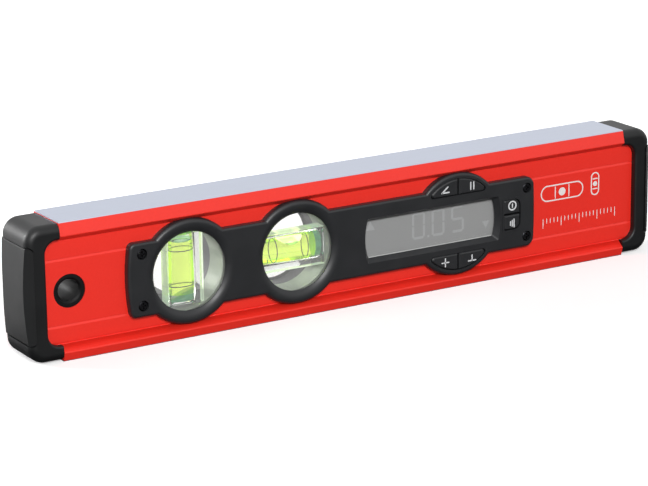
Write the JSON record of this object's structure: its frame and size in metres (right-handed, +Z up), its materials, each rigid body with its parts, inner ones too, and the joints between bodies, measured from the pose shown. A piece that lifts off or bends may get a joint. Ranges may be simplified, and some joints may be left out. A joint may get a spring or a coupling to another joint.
{
  "type": "digital spirit level",
  "caption": "Short aluminium spirit level with a tilt display, press keys, plumb and level bubble vials, end caps with bumpers and a bushed hanging hole.",
  "frame": {"origin": "middle of the base face, on the plane that the level rests on", "axes": "+X along the level with the hanging hole at -X, +Y from the display side to the back, +Z up"},
  "size_m": [0.268, 0.0224, 0.05],
  "materials": {
    "red_coating": "satin",
    "cap_plastic": "matte",
    "bumper_rubber": "matte",
    "housing_plastic": "matte",
    "key_plastic": "matte",
    "screw_steel": "satin",
    "clear_acrylic": "clear",
    "vial_fluid": "clear",
    "vial_air": "clear",
    "vial_line": "matte",
    "vial_plug": "gloss",
    "lcd_glass": "gloss",
    "contact_rubber": "matte",
    "board_laminate": "satin",
    "chip_plastic": "matte",
    "contact_metal": "satin",
    "cell_jacket": "satin"
  },
  "bodies": {
    "level_body": {"body_profile": "red_coating", "left_end_cap": "cap_plastic", "right_end_cap": "cap_plastic", "left_bumper": "bumper_rubber", "right_bumper": "bumper_rubber", "hang_hole_bush": "cap_plastic", "front_housing": "housing_plastic", "rear_housing": "housing_plastic", "housing_screws": "screw_steel", "display_window": "clear_acrylic", "lcd_panel": "lcd_glass", "lcd_contact_strips": "contact_rubber", "circuit_board": "board_laminate", "board_screws": "screw_steel", "key_switches": "contact_metal", "controller_chip": "chip_plastic", "tilt_sensor": "chip_plastic", "buzzer": "chip_plastic", "upper_battery": "cell_jacket", "lower_battery": "cell_jacket", "battery_contacts": "contact_metal", "plumb_vial_block": "clear_acrylic", "plumb_front_window": "clear_acrylic", "plumb_rear_window": "clear_acrylic", "plumb_vial_fluid": "vial_fluid", "plumb_vial_bubble": "vial_air", "plumb_vial_lines": "vial_line", "plumb_vial_plug": "vial_plug", "level_vial_block": "clear_acrylic", "level_front_window": "clear_acrylic", "level_rear_window": "clear_acrylic", "level_vial_fluid": "vial_fluid", "level_vial_lines": "vial_line", "level_vial_plug": "vial_plug"},
    "mode_key": {"mode_key": "key_plastic"},
    "hold_key": {"hold_key": "key_plastic"},
    "cal_key": {"cal_key": "key_plastic"},
    "ref_key": {"ref_key": "key_plastic"},
    "power_key": {"power_key": "key_plastic"},
    "beep_key": {"beep_key": "key_plastic"},
    "battery_door": {"battery_door": "housing_plastic"},
    "level_vial_bubble": {"level_vial_bubble": "vial_air"}
  },
  "joints": [
    {"name": "mode_key_press", "type": "slide", "parent": "level_body", "child": "mode_key", "axis": [0, 1, 0], "range_m": [0, 0.0005], "stiffness_N_per_m": 3000},
    {"name": "hold_key_press", "type": "slide", "parent": "level_body", "child": "hold_key", "axis": [0, 1, 0], "range_m": [0, 0.0005], "stiffness_N_per_m": 3000},
    {"name": "cal_key_press", "type": "slide", "parent": "level_body", "child": "cal_key", "axis": [0, 1, 0], "range_m": [0, 0.0005], "stiffness_N_per_m": 3000},
    {"name": "ref_key_press", "type": "slide", "parent": "level_body", "child": "ref_key", "axis": [0, 1, 0], "range_m": [0, 0.0005], "stiffness_N_per_m": 3000},
    {"name": "power_key_press", "type": "slide", "parent": "level_body", "child": "power_key", "axis": [0, 1, 0], "range_m": [0, 0.0005], "stiffness_N_per_m": 3000},
    {"name": "beep_key_press", "type": "slide", "parent": "level_body", "child": "beep_key", "axis": [0, 1, 0], "range_m": [0, 0.0005], "stiffness_N_per_m": 3000},
    {"name": "battery_door_lift", "type": "slide", "parent": "level_body", "child": "battery_door", "axis": [0, 1, 0], "range_m": [0, 0.012]},
    {"name": "level_bubble_drift", "type": "slide", "parent": "level_body", "child": "level_vial_bubble", "axis": [1, 0, 0], "range_m": [-0.004, 0.004], "stiffness_N_per_m": 0.5}
  ]
}
